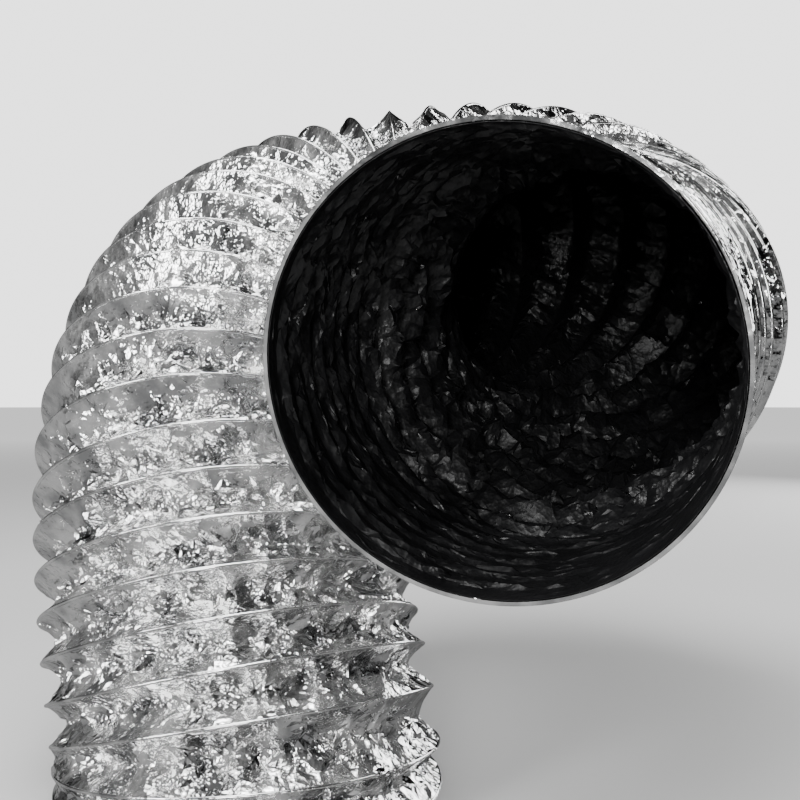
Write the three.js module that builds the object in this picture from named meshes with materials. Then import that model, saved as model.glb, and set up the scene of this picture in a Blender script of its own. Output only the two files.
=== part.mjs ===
// Flexible air duct: two strips of film wound round one spring-steel helix, standing on its lower
// end and curled over to an open mouth. Millimetres, +Z up, origin at the centre of the lower end.
import * as THREE from 'three';

// The duct's centreline, from the lower end to the mouth: round bends, each with its length, its
// radius and the direction it turns in, in degrees round the duct from +X towards +Y at the base.
const BENDS = [
  { length: 40, radius: 124, toward: 132 },
  { length: 120, radius: 490, toward: 83 },
  { length: 178, radius: 250, toward: 55 },
  { length: 172, radius: 120, toward: -5 },
  { length: 155, radius: 120, toward: -1 },
  { length: 122, radius: 155, toward: -37 },
  { length: 180, radius: 660, toward: 163 },
];

// Helix wire. Every section holds whole turns, so each is cut at the same place round the duct.
const HAND = -1; // left-handed
const SECTION_TURNS = 3;
const SECTIONS = 15;
const START_ANGLE = 220; // where the wire starts, round the duct as above
const WIRE_RADIUS = 101.9; // centreline to the middle of the wire
const WIRE_HALF = 0.75;

// Spacing of the wire turns along the centreline.
const PITCH_LOW = 17.4; // just above the lower end
const PITCH_FULL = 25.5;
const PITCH_RISE = 337; // length over which the spacing opens up
const PITCH_MOUTH = 11.5; // pushed together at the mouth
const MOUTH_LENGTH = 110;
const MOUTH_EASE = 18;
const END_PITCH = 2.2; // closed end turns

// Films. The corrugation is deep where the turns are far apart and fades where they close up.
const FOIL_CREST = 104;
const LINER_CREST = 100.9;
const FILM = 0.4; // thickness
const GAP = 0.35; // between touching pieces
const VALLEY_DEPTH = 13;
const SHALLOW_SPACING = 6; // turns closer than this leave no valley between them

const STEPS = 12; // round one turn
const TABLE_STEP = 0.25; // of the integration along the centreline
const FLAT_STEPS = STEPS - 1; // steps of an end turn that lie in the end plane

const FOIL_FINISH = { color: 0xc9cbce, roughness: 0.25, metalness: 0.9, flatShading: true };
const LINER_FINISH = { color: 0x101112, roughness: 0.3, metalness: 0.1, flatShading: true };
const WIRE_FINISH = { color: 0x8d8f92, roughness: 0.35, metalness: 1, flatShading: true };

const length = BENDS.reduce((sum, bend) => sum + bend.length, 0);
const turns = SECTIONS * SECTION_TURNS;

// ---- Centreline ----

// Moves a frame on through a bend, by arc length s. The frame turns with the bend and doesn't twist.
function along(frame, bend, s) {
  const angle = s / bend.radius;
  const toward = THREE.MathUtils.degToRad(bend.toward);
  const side = frame.normal.clone().multiplyScalar(Math.cos(toward))
    .addScaledVector(frame.binormal, Math.sin(toward));
  const axis = frame.tangent.clone().cross(side);
  return {
    point: frame.point.clone()
      .addScaledVector(frame.tangent, Math.sin(angle) * bend.radius)
      .addScaledVector(side, (1 - Math.cos(angle)) * bend.radius),
    tangent: frame.tangent.clone().applyAxisAngle(axis, angle),
    normal: frame.normal.clone().applyAxisAngle(axis, angle),
    binormal: frame.binormal.clone().applyAxisAngle(axis, angle),
  };
}

const bendStarts = [{
  s: 0,
  frame: {
    point: new THREE.Vector3(0, 0, 0),
    tangent: new THREE.Vector3(0, 0, 1),
    normal: new THREE.Vector3(1, 0, 0),
    binormal: new THREE.Vector3(0, 1, 0),
  },
}];
for (const bend of BENDS) {
  const last = bendStarts.at(-1);
  bendStarts.push({ s: last.s + bend.length, frame: along(last.frame, bend, bend.length) });
}

export function station(s) {
  let i = BENDS.length - 1;
  while (i > 0 && bendStarts[i].s > s) i -= 1;
  return along(bendStarts[i].frame, BENDS[i], s - bendStarts[i].s);
}

// ---- Helix ----

function pitchAt(s) {
  const open = PITCH_LOW + (PITCH_FULL - PITCH_LOW) * Math.min(s / PITCH_RISE, 1);
  const closed = 0.5 * (1 + Math.tanh((s - (length - MOUTH_LENGTH)) / MOUTH_EASE));
  return open * (1 - closed) + PITCH_MOUTH * closed;
}

// Turns passed by each step along the centreline, between the two closed end turns, scaled to come
// out whole.
const turnTable = [0];
for (let s = END_PITCH; s < length - END_PITCH; s += TABLE_STEP) {
  turnTable.push(turnTable.at(-1) + TABLE_STEP / pitchAt(s + TABLE_STEP / 2));
}
const turnScale = (turns - 1) / turnTable.at(-1);

// Place along the centreline of the wire at turn u, from 0 to turns + 1.
export function crestAt(u) {
  const flat = FLAT_STEPS / STEPS;
  if (u <= 1) return END_PITCH * Math.max(0, (u - flat) / (1 - flat));
  if (u >= turns) {
    return length - END_PITCH * Math.max(0, 1 - (u - turns) / (1 - flat));
  }
  const wanted = (u - 1) / turnScale;
  let low = 0;
  let high = turnTable.length - 1;
  while (high - low > 1) {
    const middle = (low + high) >> 1;
    if (turnTable[middle] <= wanted) low = middle;
    else high = middle;
  }
  const part = (wanted - turnTable[low]) / (turnTable[high] - turnTable[low]);
  const span = length - 2 * END_PITCH;
  return END_PITCH + span * (low + part) / (turnTable.length - 1);
}

function angleAt(u) {
  return HAND * 2 * Math.PI * u + THREE.MathUtils.degToRad(START_ANGLE);
}

function place(s, angle, radius) {
  const { point, normal, binormal } = station(s);
  return point.addScaledVector(normal, radius * Math.cos(angle))
    .addScaledVector(binormal, radius * Math.sin(angle));
}

// Depth of the valley between turn u and the next one, from how far apart they lie there.
function valleyDepth(u) {
  const low = place(crestAt(u), angleAt(u), FOIL_CREST);
  const high = place(crestAt(u + 1), angleAt(u), FOIL_CREST);
  return THREE.MathUtils.clamp(low.distanceTo(high) - SHALLOW_SPACING, 0, VALLEY_DEPTH);
}

// ---- Closed solids from a list of points and faces ----

function solid(points, faces) {
  const geometry = new THREE.BufferGeometry();
  geometry.setAttribute('position', new THREE.Float32BufferAttribute(
    points.flatMap((p) => [p.x, p.y, p.z]), 3));
  geometry.setIndex(faces.flat());
  geometry.computeVertexNormals();
  return geometry;
}

// Adds a four-sided face as two triangles, turned over for a left-handed helix.
function quad(faces, a, b, c, d) {
  if (HAND > 0) faces.push([a, b, c], [a, c, d]);
  else faces.push([c, b, a], [d, c, a]);
}

// One section of film: a strip that winds from turn `first` to turn `last`, joined to itself along
// the wire, with a valley line between its turns. It is thickened inwards, and both ends are closed.
function filmSection(first, last, crestRadius, valleyRadius) {
  const count = Math.round((last - first) * STEPS);
  const shift = first > 0 ? GAP : 0; // clear of the section below
  const points = [];
  const crest = [];
  const valley = [];
  const add = (s, angle, radius) => {
    points.push(place(s, angle, radius), place(s, angle, radius - FILM));
    return points.length - 2;
  };
  for (let j = 0; j <= count + STEPS; j += 1) {
    const u = first + j / STEPS;
    const lift = j <= STEPS ? shift : 0;
    const turn = j === 0 || j === STEPS ? HAND * shift / crestRadius : 0;
    crest.push(add(crestAt(u) + lift, angleAt(u) + turn, crestRadius));
  }
  for (let j = 0; j <= count; j += 1) {
    const u = first + j / STEPS;
    const turn = j === 0 ? HAND * shift / crestRadius : 0;
    const s = (crestAt(u) + crestAt(u + 1)) / 2;
    valley.push(add(s, angleAt(u) + turn, valleyRadius(u)));
  }
  const faces = [];
  const skin = (a, b, c, d) => {
    quad(faces, a, b, c, d);
    quad(faces, a + 1, d + 1, c + 1, b + 1);
  };
  for (let j = 0; j < count; j += 1) {
    skin(crest[j], crest[j + 1], valley[j + 1], valley[j]);
    skin(valley[j], valley[j + 1], crest[j + 1 + STEPS], crest[j + STEPS]);
  }
  const edge = (loop) => loop.forEach((a, i) => {
    const b = loop[(i + 1) % loop.length];
    quad(faces, b, a, a + 1, b + 1);
  });
  edge([...crest.slice(0, STEPS + 1), valley[0]]);
  edge([...crest.slice(count), valley[count]].reverse());
  return solid(points, faces);
}

function foilValley(u) {
  return FOIL_CREST - valleyDepth(u);
}

function linerValley(u) {
  return Math.min(foilValley(u) - FILM - GAP, LINER_CREST);
}

// One length of wire, four-sided, its ends a little short of its neighbours.
function wireSection(first, last) {
  const count = Math.round((last - first) * STEPS);
  const trim = GAP / 2 / (2 * Math.PI * WIRE_RADIUS);
  const corners = [[WIRE_HALF, 0], [0, WIRE_HALF], [-WIRE_HALF, 0], [0, -WIRE_HALF]];
  const points = [];
  for (let j = 0; j <= count; j += 1) {
    let u = first + j / STEPS;
    if (j === 0) u += trim;
    if (j === count) u -= trim;
    const { tangent } = station(crestAt(u));
    for (const [out, side] of corners) {
      points.push(place(crestAt(u), angleAt(u), WIRE_RADIUS + out).addScaledVector(tangent, side));
    }
  }
  const faces = [];
  for (let j = 0; j < count; j += 1) {
    for (let k = 0; k < 4; k += 1) {
      const a = 4 * j + k;
      const b = 4 * j + (k + 1) % 4;
      quad(faces, a, a + 4, b + 4, b);
    }
  }
  quad(faces, 0, 1, 2, 3);
  const end = 4 * count;
  quad(faces, end + 3, end + 2, end + 1, end);
  return solid(points, faces);
}

// ---- Assembly ----

const duct = new THREE.Group();

function addPiece(name, geometry, finish) {
  const mesh = new THREE.Mesh(geometry, new THREE.MeshStandardMaterial(finish));
  mesh.name = name;
  duct.add(mesh);
}

for (let k = 0; k < SECTIONS; k += 1) {
  const first = k * SECTION_TURNS;
  const last = first + SECTION_TURNS;
  const number = String(k + 1).padStart(2, '0');
  const wireLast = k === SECTIONS - 1 ? last + 1 : last;
  addPiece(`outer_foil_${number}`, filmSection(first, last, FOIL_CREST, foilValley), FOIL_FINISH);
  addPiece(`inner_liner_${number}`, filmSection(first, last, LINER_CREST, linerValley), LINER_FINISH);
  addPiece(`helix_wire_${number}`, wireSection(first, wireLast), WIRE_FINISH);
}

export default duct;
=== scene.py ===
"""Flexible air duct: a crumpled foil tube with a black liner, wound on one spring wire, standing on
its lower end and curled over to an open mouth. Metres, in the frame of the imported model."""

import math

import bpy
import numpy as np
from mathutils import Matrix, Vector


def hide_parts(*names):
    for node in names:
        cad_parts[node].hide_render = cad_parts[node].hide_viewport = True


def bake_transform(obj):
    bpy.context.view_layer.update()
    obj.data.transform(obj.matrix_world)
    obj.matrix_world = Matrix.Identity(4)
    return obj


MM = 0.001

# The duct as the CAD model has it, in mm and degrees. Each bend of the centreline has a length, a
# radius and the direction it turns in, round the duct.
BENDS = [
    (40, 124, 132),
    (120, 490, 83),
    (178, 250, 55),
    (172, 120, -5),
    (155, 120, -1),
    (122, 155, -37),
    (180, 660, 163),
]
HAND = -1  # left-handed winding
SECTIONS = 15
SECTION_TURNS = 3
START_ANGLE = 220  # where the wire starts, round the duct
PITCH_LOW, PITCH_FULL, PITCH_RISE = 17.4, 25.5, 337  # foot, column, length between them
PITCH_MOUTH, MOUTH_LENGTH, MOUTH_EASE = 11.5, 110, 18
END_PITCH = 2.2  # of the closed end turns
FLAT_SHARE = 11 / 12  # of an end turn, which lies flat in the end plane

LENGTH = sum(bend[0] for bend in BENDS)
TURNS = SECTIONS * SECTION_TURNS
LINE_STEP = 0.5  # between the places worked out along the centreline
TABLE_POINTS = 4000

# The real surfaces, in mm.
CREST = 103.7  # radius of the foil over the wire
WIRE_MIDDLE = 102.7
RIDGE = 0.95  # radius of the wire with the foil wrapped over it
LINER_CREST = 101.2
LINER_DROP = 0.8  # of the liner under the foil
FILM = 0.25  # thickness of each film
DEEPEST, SHALLOWEST = 13.0, 1.5  # the film's dip between two turns
CLOSED = 8.5  # spacing of the turns below which the dip is shallowest
DIP_SHARE = 0.9  # depth of the dip for each mm of spacing beyond that
DIP_SHAPE = 1.5  # 1 makes the dip a V, more makes it round

# Crumples in three sizes, coarse to fine: sideways shift as a share of the cell, height in mm.
CRUMPLES = [(0.36, 3.8), (0.36, 1.8), (0.28, 0.55)]
OPEN_ROOM = 20  # spacing of the turns at which the crumples have their full height
CROWD_POWER = 1.7  # how quickly the height goes where the turns are closer
CROWD_RANGE = (0.12, 1.1)  # least and most of the full height
PROUD = 0.2  # how far a crumple may stand over the crest
FREE_RISE = 1.6  # how quickly the film comes free of the wire on either side
TIGHT_FROM, TIGHT_OVER, TIGHT_SHARE = 0.55, 0.35, 0.6  # each turn is calmer towards the mouth
SEED = 8

# Fineness: steps round a turn and across the strip. Each finer crumple size doubles both.
ROUND, ACROSS = 256, 12
RIDGE_SIDES, RIDGE_STEPS = 8, 192
FILM_CREASE, RIDGE_CREASE = 22, 60  # degrees at which an edge shows as sharp

# Looks. Each has a dark and a pale colour, a roughness for each, the scale and detail of the clouds
# between them, and its fine creases: scale, strength and depth in metres.
# The foil's pale tint is its own colour. Its dark tint is painted shade: clouds of it stand in for
# dark reflections and wrinkle shade on the foil.
FOIL_TINT_AND_PAINTED_SHADE, FOIL_ROUGHNESS = ((0.42, 0.423, 0.427), (0.94, 0.94, 0.935)), (0.10, 0.24)
FOIL_CLOUDS, FOIL_CLOUD_RANGE = (55, 6), (0.38, 0.62)
FOIL_CREASES = [(160, 0.55, 0.0016), (420, 0.45, 0.0006)]
TIGHT_CRUSH = 0.25  # share of the creases on the foil drawn over the wire
LINER_TINTS, LINER_ROUGHNESS = ((0.005, 0.005, 0.0053), (0.016, 0.016, 0.017)), (0.28, 0.46)
LINER_CLOUDS, LINER_CLOUD_RANGE = (30, 4), (0.3, 0.7)
LINER_CREASES = [(180, 0.5, 0.0014), (480, 0.35, 0.0005)]
LINER_SPECULAR = 0.36

# Studio, in metres. Each softbox: place, width and height, power in watts.
CAMERA = (0.0808, -0.5476, 0.2063)
LENS, SENSOR = 45, 36  # mm
AIM = (0.05, 0.05, 0.2)  # where every softbox points
SOFTBOXES = {
    "left": ((-1.5, -1.3, 1.0), (0.45, 1.3), 34),
    "top": ((-0.2, -0.1, 1.7), (1.3, 0.8), 42),
    "right": ((1.5, -0.2, 1.3), (0.7, 0.7), 14),
    "back": ((1.5, 1.5, 0.75), (1.3, 0.7), 26),
    "front": ((-0.2, -1.8, 0.42), (0.3, 0.6), 15),
}
BACKDROP = 2.6  # brightness of the world as the camera sees it
BRIGHT_SIDE = (-0.62, -0.55, 0.56)  # direction in which the world is brightest
WORLD_RANGE = (0.004, 0.34)  # brightness of the world as the foil sees it
FLOOR_RADIUS = 30
FLOOR_Z = -0.0012
# The floor's tone and glow are painted: the glow is painted light, and the foil sees a darker tone
# and less glow than the camera does, as painted shade.
FLOOR_TONE, FLOOR_PAINTED_SHADE_TONE = 0.56, 0.2  # as the camera and the foil see it
GLOW_NEAR, GLOW_FAR = (0.6, 0.06), (5.0, 0.8)  # distance from the duct and the floor's glow there
GLOW_REFLECTED = 0.25  # share of the glow that the foil sees


# ---- Centreline and helix ----


def rotated(v, axis, angle):
    return (
        v * math.cos(angle)
        + np.cross(axis, v) * math.sin(angle)
        + axis * (axis @ v) * (1 - math.cos(angle))
    )


def centreline():
    """Rows along the centreline: distance, point, and the tangent, normal and binormal there."""
    point, tangent = np.zeros(3), np.array([0.0, 0, 1])
    normal, binormal = np.array([1.0, 0, 0]), np.array([0, 1.0, 0])
    rows, start = [], 0.0
    for length, radius, toward in BENDS:
        turn = math.radians(toward)
        side = math.cos(turn) * normal + math.sin(turn) * binormal
        axis = np.cross(tangent, side)
        for s in np.linspace(0, length, int(length / LINE_STEP) + 1):
            a = s / radius
            here = point + radius * (math.sin(a) * tangent + (1 - math.cos(a)) * side)
            directions = [rotated(v, axis, a) for v in (tangent, normal, binormal)]
            rows.append(np.concatenate([[start + s], here, *directions]))
        start += length
        point, tangent, normal, binormal = (rows[-1][i : i + 3] for i in (1, 4, 7, 10))
    rows = np.array(rows)
    return rows[np.concatenate([[True], np.diff(rows[:, 0]) > 0])]


LINE = centreline()


def on_line(s, first):
    """Three columns of the centreline's rows, at distance s."""
    return np.stack([np.interp(s, LINE[:, 0], LINE[:, first + i]) for i in range(3)], -1)


def place(s, angle, radius):
    """Points at distance s along the duct, at an angle round it and a radius from its middle."""
    out = np.cos(angle)[..., None] * on_line(s, 7) + np.sin(angle)[..., None] * on_line(s, 10)
    return on_line(s, 1) + radius[..., None] * out


def turn_table():
    """Turns of the wire against distance along the duct, closed end turns included."""
    s = np.linspace(END_PITCH, LENGTH - END_PITCH, TABLE_POINTS)
    opened = PITCH_LOW + (PITCH_FULL - PITCH_LOW) * np.minimum(s / PITCH_RISE, 1)
    closed = 0.5 * (1 + np.tanh((s - (LENGTH - MOUTH_LENGTH)) / MOUTH_EASE))
    pitch = opened * (1 - closed) + PITCH_MOUTH * closed
    passed = np.concatenate([[0], np.cumsum(np.diff(s) / ((pitch[1:] + pitch[:-1]) / 2))])
    u = 1 + passed / passed[-1] * (TURNS - 1)
    ends = [0, FLAT_SHARE], [TURNS + 1 - FLAT_SHARE, TURNS + 1]
    return (
        np.concatenate([ends[0], u, ends[1]]),
        np.concatenate([[0, 0], s, [LENGTH, LENGTH]]),
    )


TABLE = turn_table()


def crest_at(u):
    """Distance along the duct of the wire's turn u."""
    return np.interp(u, *TABLE)


def angle_at(u):
    return HAND * 2 * math.pi * u + math.radians(START_ANGLE)


def spacing(u):
    """How far the wire lies from its next turn, at the angle of turn u."""
    ring = np.full(np.shape(u), CREST)
    low = place(crest_at(u), angle_at(u), ring)
    high = place(crest_at(u + 1), angle_at(u), ring)
    return np.linalg.norm(high - low, axis=-1)


# ---- Crumpled film ----


def doubled(field, diagonal):
    """A grid of values at twice the fineness. Each cell folds along one of its diagonals."""
    n, m = field.shape
    fine = np.zeros((2 * n - 1, 2 * m - 1))
    fine[::2, ::2] = field
    fine[1::2, ::2] = (field[1:] + field[:-1]) / 2
    fine[::2, 1::2] = (field[:, 1:] + field[:, :-1]) / 2
    one = (field[:-1, :-1] + field[1:, 1:]) / 2
    other = (field[1:, :-1] + field[:-1, 1:]) / 2
    fine[1::2, 1::2] = np.where(diagonal, one, other)
    return fine


def crumples(rng):
    """Random shifts of the film's grid points: along the strip, across it and in and out."""
    coarse = 2 ** (len(CRUMPLES) - 1)
    n, m = TURNS * ROUND // coarse, ACROSS // coarse
    fields = [np.zeros((n + 1, m + 1)) for _ in range(3)]
    for level, (jitter, height) in enumerate(CRUMPLES):
        if level:
            diagonal = rng.random((fields[0].shape[0] - 1, fields[0].shape[1] - 1)) < 0.5
            fields = [doubled(f, diagonal) for f in fields]
        cell = coarse / 2**level
        shape = fields[0].shape
        across = np.linspace(0, 1, shape[1])
        calm = 1 - TIGHT_SHARE * np.clip((across - TIGHT_FROM) / TIGHT_OVER, 0, 1)
        free = np.minimum(np.sin(math.pi * across) * FREE_RISE, 1) * (calm if level else 1)
        free[[0, -1]] = 0
        scales = (jitter * cell / ROUND, jitter * cell / ACROSS, height)
        for f, scale in zip(fields, scales):
            f += rng.uniform(-1, 1, shape) * scale * free
    fields[0][[0, -1]] = 0
    return fields


def film_grid(rng):
    """Distance along the duct, angle and foil radius of every grid point."""
    along, across, out = crumples(rng)
    u = np.arange(TURNS * ROUND + 1)[:, None] / ROUND + along
    v = np.arange(ACROSS + 1)[None, :] / ACROSS + across
    s = crest_at(u) + v * (crest_at(u + 1) - crest_at(u))
    room = spacing(u)
    depth = np.clip(DIP_SHARE * (room - CLOSED), SHALLOWEST, DEEPEST)
    dip = depth * (1 - np.abs(2 * v - 1) ** DIP_SHAPE)
    height = np.clip((room / OPEN_ROOM) ** CROWD_POWER, *CROWD_RANGE)
    radius = np.minimum(CREST - dip + out * height, CREST + PROUD)
    return s, angle_at(u), radius


def joined_ids():
    """Grid point numbers, with the top of each turn of strip joined to the bottom of the next."""
    n = TURNS * ROUND
    ids = np.arange((n + 1) * (ACROSS + 1)).reshape(n + 1, ACROSS + 1)
    ids[: n + 1 - ROUND, ACROSS] = ids[ROUND:, 0]
    return ids


def film_faces(rng):
    """Triangles of the film, each quad split along a random diagonal."""
    ids = joined_ids()
    a, b, c, d = ids[:-1, :-1], ids[1:, :-1], ids[1:, 1:], ids[:-1, 1:]
    swap = rng.random(a.shape)[..., None] < 0.5
    first = np.where(swap, np.stack([a, b, c], -1), np.stack([a, b, d], -1))
    second = np.where(swap, np.stack([a, c, d], -1), np.stack([b, c, d], -1))
    faces = np.stack([first, second], 2).reshape(-1, 3)
    return faces[:, ::-1] if HAND < 0 else faces


# ---- Meshes ----


def closed_sheet(faces):
    """Numbers of the grid points in a patch, and the triangles of a closed thin sheet on them: the
    outer skin, the inner skin after it, and a wall round every open edge."""
    used, local = np.unique(faces, return_inverse=True)
    local = local.reshape(-1, 3)
    n = len(used)
    edges = local[:, [0, 1, 1, 2, 2, 0]].reshape(-1, 2)
    low, high = edges.min(1), edges.max(1)
    _, pair, count = np.unique(low * n + high, return_inverse=True, return_counts=True)
    p, q = edges[count[pair.ravel()] == 1].T
    walls = np.concatenate([np.stack([q, p, p + n], -1), np.stack([q, p + n, q + n], -1)])
    return used, np.concatenate([local, local[:, ::-1] + n, walls])


def add_mesh(name, points, triangles, material):
    mesh = bpy.data.meshes.new(name)
    mesh.vertices.add(len(points))
    mesh.loops.add(3 * len(triangles))
    mesh.loops.foreach_set("vertex_index", triangles.ravel().astype(np.int32))
    mesh.polygons.add(len(triangles))
    mesh.polygons.foreach_set("loop_start", np.arange(0, 3 * len(triangles), 3, dtype=np.int32))
    mesh.vertices.foreach_set("co", points.astype(np.float32).ravel())
    mesh.update(calc_edges=True)
    mesh.materials.append(material)
    piece = bpy.data.objects.new(name, mesh)
    bpy.context.collection.objects.link(piece)
    return piece


def straight(s, angle, radius):
    """The same points with the duct laid out straight along Z."""
    return np.stack([radius * np.cos(angle), radius * np.sin(angle), s], -1)


CUTS = [crest_at(SECTION_TURNS * k + 0.5) for k in range(1, SECTIONS)]
ENDS = np.array([0.0, *CUTS, LENGTH])
MIDDLES = (ENDS[1:] + ENDS[:-1]) / 2


def add_length(kind, k, s, angle, radius, triangles, material, crease):
    """One length of film or wire, from the middle of section k to the middle of the next. It is
    built laid out straight, then its points are moved onto the bent duct by their distance along
    it."""
    name = f"{kind}_length_{k:02d}"
    piece = add_mesh(name, straight(s, angle, radius) * MM, triangles, material)
    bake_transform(piece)
    mesh = piece.data
    mesh.vertices.foreach_set("co", (place(s, angle, radius) * MM).astype(np.float32).ravel())
    mesh.update()
    mesh.shade_smooth()
    mesh.set_sharp_from_angle(angle=math.radians(crease))
    sections = [k] if k < SECTIONS - 1 else [k, k + 1]
    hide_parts(*[f"{kind}_{j:02d}" for j in sections])
    return piece


def length_of(s):
    """Which length, from 1 on, a distance along the duct falls in."""
    return np.clip(np.searchsorted(MIDDLES, s), 1, SECTIONS - 1)


def add_films(foil, liner):
    """Foil and liner, one skin just inside the other, in lengths that share their seams."""
    rng = np.random.default_rng(SEED)
    s, angle, radius = film_grid(rng)
    faces = film_faces(rng)
    s, angle, radius = s.ravel(), np.broadcast_to(angle, s.shape).ravel(), radius.ravel()
    inside = np.minimum(radius - LINER_DROP, LINER_CREST)
    belongs = length_of(s[faces].mean(1))
    for k in range(1, SECTIONS):
        used, triangles = closed_sheet(faces[belongs == k])
        for kind, r, material in (("outer_foil", radius, foil), ("inner_liner", inside, liner)):
            both_skins = np.concatenate([r[used], r[used] - FILM])
            piece = add_length(
                kind,
                k,
                np.tile(s[used], 2),
                np.tile(angle[used], 2),
                both_skins,
                triangles,
                material,
                FILM_CREASE,
            )


def add_ridges(material):
    """The wire with the foil drawn tight over it, as one round ridge along every turn."""
    u = np.arange((TURNS + 1) * RIDGE_STEPS + 1) / RIDGE_STEPS
    turned = np.linspace(0, 2 * math.pi, RIDGE_SIDES, endpoint=False)
    along, angle = crest_at(u), angle_at(u)
    # A ridge is as wide along the duct at the outside of a bend as at the inside.
    after, before = np.clip(along + 1, 0, LENGTH), np.clip(along - 1, 0, LENGTH)
    middle = np.full(u.shape, WIRE_MIDDLE)
    moved = place(after, angle, middle) - place(before, angle, middle)
    stretch = np.linalg.norm(moved, axis=-1) / (after - before)
    s = along[:, None] + RIDGE * np.sin(turned) / stretch[:, None]
    radius = np.broadcast_to(WIRE_MIDDLE + RIDGE * np.cos(turned), s.shape)
    angle = np.broadcast_to(angle[:, None], s.shape)
    ids = np.arange(s.size).reshape(s.shape)
    beside = np.roll(ids, -1, axis=1)
    a, b, c, d = ids[:-1], ids[1:], beside[1:], beside[:-1]
    quads = np.stack([np.stack([a, b, c], -1), np.stack([a, c, d], -1)], 2)
    if HAND > 0:
        quads = quads[..., ::-1]
    belongs = length_of(along[:-1])
    for k in range(1, SECTIONS):
        faces = quads[belongs == k].reshape(-1, 3)
        rings = np.unique(faces // RIDGE_SIDES)
        caps = []
        for ring, backward in ((rings[0], HAND < 0), (rings[-1], HAND > 0)):
            loop = ids[ring][::-1] if backward else ids[ring]
            caps += [[loop[0], loop[i], loop[i + 1]] for i in range(1, RIDGE_SIDES - 1)]
        used, local = np.unique(np.concatenate([faces, caps]), return_inverse=True)
        piece = add_length(
            "helix_wire",
            k,
            s.ravel()[used],
            angle.ravel()[used],
            radius.ravel()[used],
            local.reshape(-1, 3),
            material,
            RIDGE_CREASE,
        )


# ---- Materials ----


def new_material(name):
    """A material, its node tree, its shader and the socket with the piece's own coordinates."""
    material = bpy.data.materials.new(name)
    material.use_nodes = True
    tree = material.node_tree
    where = tree.nodes.new("ShaderNodeTexCoord").outputs["Object"]
    return material, tree, tree.nodes["Principled BSDF"], where


def ramp(tree, source, low, high, out_low, out_high):
    """The source, from low to high, as a value from out_low to out_high."""
    node = tree.nodes.new("ShaderNodeMapRange")
    node.inputs["From Min"].default_value, node.inputs["From Max"].default_value = low, high
    node.inputs["To Min"].default_value, node.inputs["To Max"].default_value = out_low, out_high
    tree.links.new(source, node.inputs["Value"])
    return node.outputs["Result"]


def clouds(tree, where, scale, detail):
    node = tree.nodes.new("ShaderNodeTexNoise")
    node.inputs["Scale"].default_value = scale
    node.inputs["Detail"].default_value = detail
    node.inputs["Roughness"].default_value = 0.55
    tree.links.new(where, node.inputs["Vector"])
    return node.outputs["Fac"]


def tinted(tree, shader, source, dark, pale):
    """Shades the surface between two colours."""
    tint = tree.nodes.new("ShaderNodeMix")
    tint.data_type = "RGBA"
    tint.inputs["A"].default_value = (*dark, 1)
    tint.inputs["B"].default_value = (*pale, 1)
    tree.links.new(source, tint.inputs["Factor"])
    tree.links.new(tint.outputs["Result"], shader.inputs["Base Color"])


def creases(tree, shader, where, sizes):
    """Fine crushing: patches that meet at sharp edges, one size over another. Each size is the
    patches' scale, the strength and the depth in metres."""
    normal = None
    for scale, strength, depth in sizes:
        patches = tree.nodes.new("ShaderNodeTexVoronoi")
        patches.feature = "F1"
        patches.inputs["Scale"].default_value = scale
        tree.links.new(where, patches.inputs["Vector"])
        bump = tree.nodes.new("ShaderNodeBump")
        bump.inputs["Strength"].default_value = strength
        bump.inputs["Distance"].default_value = depth
        tree.links.new(patches.outputs["Distance"], bump.inputs["Height"])
        if normal is not None:
            tree.links.new(normal, bump.inputs["Normal"])
        normal = bump.outputs["Normal"]
    tree.links.new(normal, shader.inputs["Normal"])


def foil_material(name, crush):
    """Crumpled foil, with that share of its fine creases."""
    material, tree, shader, where = new_material(name)
    shader.inputs["Metallic"].default_value = 1.0
    cloudy = ramp(tree, clouds(tree, where, *FOIL_CLOUDS), *FOIL_CLOUD_RANGE, 0, 1)
    # The pale tint is the foil's own. The dark clouds are painted shade standing in for dark
    # reflections.
    tinted(tree, shader, cloudy, *FOIL_TINT_AND_PAINTED_SHADE)
    tree.links.new(ramp(tree, cloudy, 0, 1, *FOIL_ROUGHNESS), shader.inputs["Roughness"])
    creases(tree, shader, where, [(scale, crush * how, deep) for scale, how, deep in FOIL_CREASES])
    return material


def liner_material():
    material, tree, shader, where = new_material("black_film")
    shader.inputs["Specular IOR Level"].default_value = LINER_SPECULAR
    cloudy = clouds(tree, where, *LINER_CLOUDS)
    tinted(tree, shader, cloudy, *LINER_TINTS)
    rough = ramp(tree, cloudy, *LINER_CLOUD_RANGE, *LINER_ROUGHNESS)
    tree.links.new(rough, shader.inputs["Roughness"])
    creases(tree, shader, where, LINER_CREASES)
    return material


# ---- Studio ----


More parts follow.
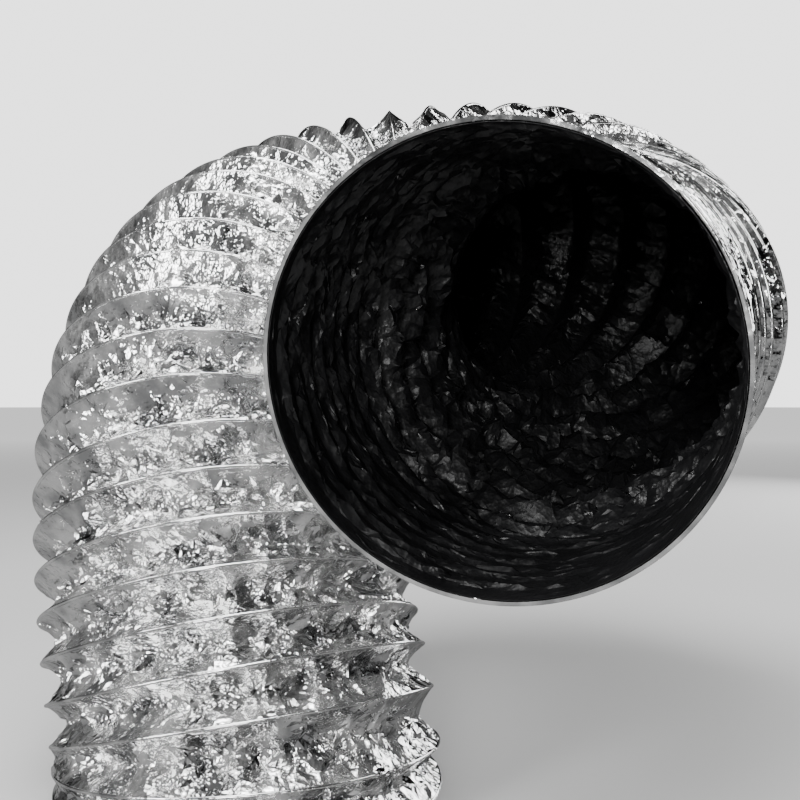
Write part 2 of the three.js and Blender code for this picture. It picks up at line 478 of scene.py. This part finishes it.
def add_floor():
    """Pale to look at, with a painted glow that grows brighter far off. The foil reflects it darker
    than it looks, as it would between black cards: painted shade in the foil's reflections."""
    bpy.ops.mesh.primitive_circle_add(vertices=96, radius=FLOOR_RADIUS, fill_type="NGON")
    floor = bpy.context.object
    floor.name = "studio_floor"
    floor.location = (0, 0, FLOOR_Z)
    material, tree, shader, where = new_material("pale_floor")
    shader.inputs["Roughness"].default_value = 0.8
    shader.inputs["Specular IOR Level"].default_value = 0.1
    shader.inputs["Emission Color"].default_value = (1, 1, 1, 1)
    away = tree.nodes.new("ShaderNodeVectorMath")
    away.operation = "LENGTH"
    tree.links.new(where, away.inputs[0])
    (near, near_glow), (far, far_glow) = GLOW_NEAR, GLOW_FAR
    glow = ramp(tree, away.outputs["Value"], near, far, near_glow, far_glow)
    # Painted shade: the foil sees the floor darker and dimmer than the camera does.
    seen = tree.nodes.new("ShaderNodeLightPath").outputs["Is Camera Ray"]
    tone = ramp(tree, seen, 0, 1, FLOOR_PAINTED_SHADE_TONE, FLOOR_TONE)
    tree.links.new(tone, shader.inputs["Base Color"])
    dimmed = tree.nodes.new("ShaderNodeMath")
    dimmed.operation = "MULTIPLY"
    tree.links.new(glow, dimmed.inputs[0])
    tree.links.new(ramp(tree, seen, 0, 1, GLOW_REFLECTED, 1), dimmed.inputs[1])
    tree.links.new(dimmed.outputs["Value"], shader.inputs["Emission Strength"])
    floor.data.materials.append(material)


def add_holder(name, data, where):
    holder = bpy.data.objects.new(name, data)
    bpy.context.collection.objects.link(holder)
    holder.location = where
    return holder


def add_softbox(name, where, size, power):
    lamp = bpy.data.lights.new(name, "AREA")
    lamp.shape = "RECTANGLE"
    lamp.size, lamp.size_y = size
    lamp.energy = power
    aim = Vector(AIM) - Vector(where)
    add_holder(name, lamp, where).rotation_euler = aim.to_track_quat("-Z", "Y").to_euler()


def add_world():
    """White to look at; to the foil it is bright overhead and on the left and dark on the right."""
    world = bpy.data.worlds.new("studio")
    bpy.context.scene.world = world
    world.use_nodes = True
    tree = world.node_tree
    backdrop = tree.nodes["Background"]
    backdrop.inputs["Color"].default_value = (1, 1, 1, 1)
    backdrop.inputs["Strength"].default_value = BACKDROP
    slope = tree.nodes.new("ShaderNodeVectorMath")
    slope.operation = "DOT_PRODUCT"
    slope.inputs[1].default_value = BRIGHT_SIDE
    direction = tree.nodes.new("ShaderNodeTexCoord").outputs["Generated"]
    tree.links.new(direction, slope.inputs[0])
    reflected = tree.nodes.new("ShaderNodeBackground")
    shade = ramp(tree, slope.outputs["Value"], 0, 0.9, *WORLD_RANGE)
    tree.links.new(shade, reflected.inputs["Strength"])
    mix = tree.nodes.new("ShaderNodeMixShader")
    seen = tree.nodes.new("ShaderNodeLightPath").outputs["Is Camera Ray"]
    tree.links.new(seen, mix.inputs["Fac"])
    tree.links.new(reflected.outputs["Background"], mix.inputs[1])
    tree.links.new(backdrop.outputs["Background"], mix.inputs[2])
    tree.links.new(mix.outputs["Shader"], tree.nodes["World Output"].inputs["Surface"])


def add_camera():
    """A level camera at the photograph's viewing angle, looking along +Y."""
    camera = bpy.data.cameras.new("camera")
    camera.sensor_width = SENSOR
    camera.lens = LENS
    holder = add_holder("camera", camera, CAMERA)
    holder.rotation_euler = (math.pi / 2, 0, 0)
    bpy.context.scene.camera = holder


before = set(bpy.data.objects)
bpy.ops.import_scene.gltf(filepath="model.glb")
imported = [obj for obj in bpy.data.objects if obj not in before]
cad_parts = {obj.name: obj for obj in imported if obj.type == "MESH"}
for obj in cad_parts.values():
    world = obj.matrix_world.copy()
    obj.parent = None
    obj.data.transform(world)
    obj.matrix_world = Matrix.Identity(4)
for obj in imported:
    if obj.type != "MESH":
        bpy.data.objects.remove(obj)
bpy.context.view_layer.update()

add_camera()
foil = foil_material("foil", 1.0)
tight_foil = foil_material("tight_foil", TIGHT_CRUSH)
add_films(foil, liner_material())
add_ridges(tight_foil)
add_floor()
add_world()
for side, softbox in SOFTBOXES.items():
    add_softbox(f"softbox_{side}", *softbox)
